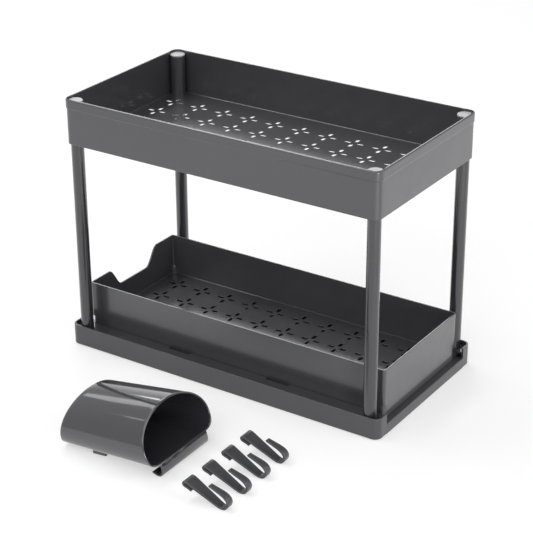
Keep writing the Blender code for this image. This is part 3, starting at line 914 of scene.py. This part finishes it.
# Hanging cup
# A half-round cup that tapers to its closed end, moulded with a lip that hooks over a rim and
# two spacers on its flat back. It lies on that back, its mouth cut aslant towards the right.
cup_half = (0.0550, 0.0362)
cup_flat_drop = 0.0164
cup_length = 0.1226
cup_taper = 0.9005
cup_lean = (-0.3134, 0.1650)
cup_wall = 0.0018
cup_rear_round = 0.0030
cup_place = (0.0548, -0.2379, 0.0144)
cup_fall = 0.0122
cup_pitch = math.atan(cup_fall / cup_length)
cup_ring_steps = 160
cup_arc_points = 960
cup_flat_points = 320
cup_easing = 44


def cup_outline(inset):
    """Closed ring of (y, z): the upper arc of an ellipse on a flat, corners eased by a moving mean.

    The mean takes in cup_easing points to either side, which rounds the corners by about 10 mm.
    """
    wide, high, drop = cup_half[0] - inset, cup_half[1] - inset, cup_flat_drop - inset
    limit = math.acos(-drop / high)
    angle = np.linspace(-limit, limit, cup_arc_points)
    arc = np.stack([wide * np.sin(angle), cup_flat_drop + high * np.cos(angle)], axis=1)
    flat = np.linspace(arc[-1], arc[0], cup_flat_points + 2)[1:-1]
    ring = np.concatenate([arc, flat])
    padded = np.concatenate([ring[-cup_easing:], ring, ring[:cup_easing]])
    kernel = np.ones(2 * cup_easing + 1) / (2 * cup_easing + 1)
    ring = np.stack([np.convolve(padded[:, axis], kernel, "valid") for axis in (0, 1)], axis=1)
    ring = np.concatenate([ring, ring[:1]])
    run = np.concatenate([[0.0], np.cumsum(np.linalg.norm(np.diff(ring, axis=0), axis=1))])
    want = np.linspace(0.0, run[-1], cup_ring_steps + 1)
    return np.stack([np.interp(want, run, ring[:, axis]) for axis in (0, 1)], axis=1)


def cup_rows(share, inset, push):
    """Rings at shares of the cup's length, drawn in by inset and pushed on along X.

    A ring is the outline times 1 - share * (1 - cup_taper), at x = push - cup_length * share. It
    leans along X by a part of its height that goes from cup_lean[0] to cup_lean[1].
    """
    rings = []
    for s, i, p in zip(share, inset, push):
        section = cup_outline(i) * (1 - s * (1 - cup_taper))
        lean = cup_lean[0] * (1 - s) + cup_lean[1] * s
        rings.append(np.column_stack([-cup_length * s + lean * section[:, 1] + p, section]))
    return np.array(rings)


def cup_frame(points):
    """Tip the cup's own points by its pitch about Y and set them down in place."""
    c, s = math.cos(cup_pitch), math.sin(cup_pitch)
    x = c * points[..., 0] - s * points[..., 2] + cup_place[0]
    z = s * points[..., 0] + c * points[..., 2] + cup_place[2]
    return np.stack([x, points[..., 1] + cup_place[1], z], axis=-1)


# The wall runs out straight to the closed end and turns in there, outside and inside alike, and a
# half round joins the two along the mouth.
turn = np.linspace(0, math.pi / 2, 7)
lip_turn = np.linspace(0, math.pi, 9)
lengths = np.linspace(0.02, 1.0, 24)
straight = np.zeros(len(lengths) - 1)
wall_share = np.concatenate([lengths, np.ones(len(turn) - 1)])
wall_inset = np.concatenate([straight, cup_rear_round * (1 - np.cos(turn))])
end_push = cup_rear_round * (1 - np.sin(turn))
outer_push = np.concatenate([straight, end_push])
inner_push = np.concatenate([straight, cup_wall + end_push])
mouth_inset = cup_wall / 2 * (1 - np.cos(lip_turn))
mouth_push = cup_wall / 2 * (np.sin(lip_turn) - 1)
shell = np.concatenate(
    [
        cup_rows(wall_share, wall_inset, outer_push)[::-1],
        cup_rows(np.zeros_like(lip_turn), mouth_inset, mouth_push),
        cup_rows(wall_share, cup_wall + wall_inset, inner_push),
    ]
)
plate_shares = np.array([0.0, 0.35, 0.7, 1.0])[:, None, None]
end_plates = []
for ring in (shell[0], shell[-1]):
    middle = ring[:-1].mean(axis=0)
    end_plates.append(middle + plate_shares * (ring - middle))
# ABS from a mirror-polished mould: the glossiest piece, with long clean streaks of light.
cup_plastic = moulded_plastic(
    "charcoal_mirror_abs", "#343439", (0.10, 0.16), (1.0, 0.03), peel=0.006, grain=0.006
)
patches = [cup_frame(shell), *[cup_frame(plate) for plate in end_plates]]
cup = closed_solid("half_round_cup", patches, crease=40)
cup.data.materials.append(cup_plastic)
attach(cup, "cup")
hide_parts("hanging_cup")


# Cup lip
# A thin strip moulded along the lower edge of the mouth and bent back under the cup. The real cup
# hangs from a rim by it.
lip_size = 0.0130
lip_thickness = 0.0016
lip_half = 0.0388
# From the mouth down past the flat back and in under it, in shares of lip_size.
lip_path = np.array(
    [
        (-0.07, 0.06), (-0.01, -0.12), (0.03, -0.33), (0.045, -0.60), (-0.02, -0.84),
        (-0.197, -0.975), (-0.42, -0.995), (-0.674, -0.92), (-0.89, -0.81),
    ]
)


def smooth_path(points, steps):
    """Catmull-Rom curve through the points, steps pieces between each pair.

    Between b and c it is half of 2b + (c - a)s + (2a - 5b + 4c - d)s^2 + (3b - a - 3c + d)s^3.
    """
    points = np.concatenate([2 * points[:1] - points[1:2], points, 2 * points[-1:] - points[-2:-1]])
    share = np.linspace(0.0, 1.0, steps, endpoint=False)[None, :, None]
    a, b, c, d = (points[i : len(points) - 3 + i, None] for i in range(4))
    square = (2 * a - 5 * b + 4 * c - d) * share**2
    cube = (3 * b - a - 3 * c + d) * share**3
    curve = (2 * b + (c - a) * share + square + cube) / 2
    return np.concatenate([curve.reshape(-1, points.shape[1]), points[-2:-1]])


def strip(path, half_width, thickness, side_y=0.0, corner=0.0004, end_steps=5):
    """Flat strip carried along a path in the XZ plane, its section a rounded rectangle.

    A point stands at path + side * through, with side square to the path, and at side_y + across.
    half_width and thickness are one number a point. At both ends the thickness closes along a
    quarter circle, so that the strip ends in a round nose.
    """
    step = np.gradient(path, axis=0)
    step /= np.linalg.norm(step, axis=1)[:, None]
    end_turn = np.linspace(0, math.pi / 2, end_steps + 1)[1:]
    nose = np.sin(end_turn)
    close = np.cos(end_turn)
    reach = thickness[[0, -1]] / 2
    front = path[:1] - nose[::-1, None] * reach[0] * step[:1]
    back = path[-1:] + nose[:, None] * reach[1] * step[-1:]
    path = np.concatenate([front, path, back])
    step = np.pad(step, ((end_steps, end_steps), (0, 0)), mode="edge")
    half_width = np.pad(half_width, end_steps, mode="edge")
    thickness = np.concatenate([thickness[0] * close[::-1], thickness, thickness[-1] * close])
    side = np.stack([-step[:, 1], step[:, 0]], axis=1)
    turn = np.linspace(0, math.pi / 2, 4)
    quarters = [(1, 1, 0), (-1, 1, 1), (-1, -1, 2), (1, -1, 3)]
    corners = [(sx, sz, a) for sx, sz, start in quarters for a in turn + start * math.pi / 2]
    unit = np.array([(sx, sz, math.cos(a), math.sin(a)) for sx, sz, a in corners])
    unit = np.concatenate([unit, unit[:1]])
    round_off = np.minimum(corner, 0.45 * thickness)[:, None]
    across = unit[:, 0] * (half_width[:, None] - round_off) + unit[:, 2] * round_off
    through = unit[:, 1] * (thickness[:, None] / 2 - round_off) + unit[:, 3] * round_off
    x = path[:, :1] + side[:, :1] * through
    z = path[:, 1:] + side[:, 1:] * through
    return np.stack([x, side_y + across, z], axis=-1)


path = smooth_path(lip_path * lip_size, 5)
lip_rows = strip(path, np.full(len(path), lip_half), np.full(len(path), lip_thickness))
lip = closed_solid("cup_rim_lip", [cup_frame(lip_rows)], crease=40)
lip.data.materials.append(cup_plastic)
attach(lip, "cup")


# Cup spacers
# Two flat blocks near the closed end, moulded on the cup's back, keep it off the wall that it
# hangs against.
spacer_half = (0.0085, 0.0015)
spacer_corner = 0.0008
spacer_levels = (-0.0056, 0.0009)
spacer_place = (-0.0780, 0.0385)
spacer_fillet = 0.0004
spacer_lap = 0.0012
spacer_profile = rounded_profile(
    [
        (-spacer_lap, spacer_levels[0], 0),
        (0.0, spacer_levels[0], spacer_fillet),
        (0.0, spacer_levels[1], 0),
        (-spacer_lap, spacer_levels[1], 0),
    ],
    steps=3,
)
for name, side in (("front", -1), ("rear", 1)):
    place = (spacer_place[0], side * spacer_place[1])
    rows = cup_frame(carry(block_columns, spacer_half, spacer_corner, *spacer_profile.T, place))
    spacer = closed_solid("cup_spacer_" + name, [rows], [rows[0, :-1], rows[-1, :-1]])
    spacer.data.materials.append(cup_plastic)
    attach(spacer, "cup")


# Clip hooks
# Four hooks, each one strip of satin ABS bent to a small clip with a barb at one end and to an
# open hook with a narrowing arm at the other. They lie in a row, free of each other.
hook_size = 0.0550
hook_clip_half = 0.0078
hook_bend_half = 0.0043
hook_tip_half = 0.0026
hook_thickness = 0.0024
hook_corner = 0.0007
hook_pitch = 0.0332
hook_row_start = (0.0910, -0.2873)
hook_places = [(hook_row_start[0], hook_row_start[1] + hook_pitch * i) for i in range(4)]
hook_path = np.array(
    [
        (0.2220, 0.2240), (0.1930, 0.2350), (0.1560, 0.2500), (0.1160, 0.2610), (0.0800, 0.2790),
        (0.0670, 0.3090), (0.0840, 0.3350), (0.1200, 0.3390), (0.1640, 0.3250), (0.3330, 0.2450),
        (0.5930, 0.1230), (0.6910, 0.0770), (0.7450, 0.0520), (0.8090, 0.0280), (0.8640, 0.0260),
        (0.9130, 0.0440), (0.9510, 0.0910), (0.9670, 0.1550), (0.9470, 0.2110), (0.9000, 0.2560),
        (0.8240, 0.2930), (0.6980, 0.3330), (0.5740, 0.3700),
    ]
)
hook_barb = np.array(
    [(0.1700, 0.2400), (0.2360, 0.2000), (0.2580, 0.2270), (0.2200, 0.2400), (0.1850, 0.2520)]
)
hook_steps = 6
path = smooth_path(hook_path * hook_size, hook_steps)
# The arm is what lies past point arm_start of hook_path and above arm_height, and the rest is the
# leg. Each tapers between two places along the hook, in shares of hook_size.
arm_start = 16
arm_height = 0.228
arm_span = [0.55, 0.92]
leg_span = [0.15, 0.84]
along = path[:, 0] / hook_size
arm = (np.arange(len(path)) > arm_start * hook_steps) & (path[:, 1] > arm_height * hook_size)
widths = np.where(
    arm,
    np.interp(along, arm_span, [hook_tip_half, hook_bend_half]),
    np.interp(along, leg_span, [hook_clip_half, hook_bend_half]),
)
thicknesses = np.full(len(path), hook_thickness)
barb_bevel = 0.0003
barb_inset = 0.93
barb_sides = np.array([hook_clip_half - barb_bevel, hook_clip_half])
# ABS from a blasted mould: satin, with a soft even sheen and a fine visible grain.
hook_plastic = moulded_plastic(
    "charcoal_satin_abs", "#36363a", (0.34, 0.44), (0.35, 0.25), peel=0.01, grain=0.08
)
for i, place in enumerate(hook_places):
    rows = strip(path, widths, thicknesses, place[1], corner=hook_corner)
    rows[..., 0] += place[0]
    hook = closed_solid("bent_hook_" + str(i + 1), [rows], crease=40)
    hook.data.materials.append(hook_plastic)
    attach(hook, "hook_" + str(i + 1))
    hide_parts("clip_hook_" + str(i + 1))
    edge_y = place[1] + np.concatenate([-barb_sides[::-1], barb_sides])
    outline = hook_barb * hook_size
    drawn_in = outline.mean(axis=0) + barb_inset * (outline - outline.mean(axis=0))
    rings = [drawn_in, outline, outline, drawn_in]
    rings = np.stack([np.insert(r, 1, y, axis=1) for r, y in zip(rings, edge_y)])
    rings[..., 0] += place[0]
    band = rings[:, [0, 1, 2, 3, 4, 0]]
    barb = closed_solid("hook_barb_" + str(i + 1), [band], [rings[0], rings[-1]])
    barb.data.materials.append(hook_plastic)
    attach(barb, "hook_" + str(i + 1))


# Pads
# Four discs of soft black rubber in seats under the base's corners keep it from sliding. They are
# moulded plain, so their CAD shape stays and only gets a finish: matt, dusty, slightly rough.
speck_mm = 1.111
speck_depth = 0.0003
rubber = bpy.data.materials.new("black_rubber")
rubber.use_nodes = True
tree = rubber.node_tree
tree.nodes.clear()
where = add_node(tree, "ShaderNodeTexCoord").outputs["Object"]
speck = add_node(tree, "ShaderNodeTexNoise", {"Vector": where}, Scale=1000 / speck_mm, Detail=3.0)
dust = add_node(
    tree,
    "ShaderNodeMapRange",
    {"Value": speck.outputs["Fac"]},
    in_1=0.4,
    in_2=0.75,
    in_3=0.7,
    in_4=1.6,
)
base = add_node(tree, "ShaderNodeRGB")
base.outputs[0].default_value = linear("#1b1b1b")
shade = add_node(
    tree,
    "ShaderNodeVectorMath",
    {0: base.outputs[0], "Scale": dust.outputs[0]},
    operation="SCALE",
)
rough = add_node(
    tree,
    "ShaderNodeMapRange",
    {"Value": speck.outputs["Fac"]},
    in_1=noise_low,
    in_2=noise_high,
    in_3=0.72,
    in_4=0.88,
)
bumps = add_node(
    tree,
    "ShaderNodeBump",
    {"Height": speck.outputs["Fac"]},
    Strength=0.15,
    Distance=speck_depth,
)
shader = add_node(
    tree,
    "ShaderNodeBsdfPrincipled",
    {"Base Color": shade.outputs[0], "Roughness": rough.outputs[0], "Normal": bumps.outputs[0]},
    IOR=1.52,
)
add_node(tree, "ShaderNodeOutputMaterial", {"Surface": shader.outputs[0]})
for name in corner_names:
    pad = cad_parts["pad_" + name]
    pad.data.materials.clear()
    pad.data.materials.append(rubber)

bpy.context.scene.view_settings.view_transform = "Standard"
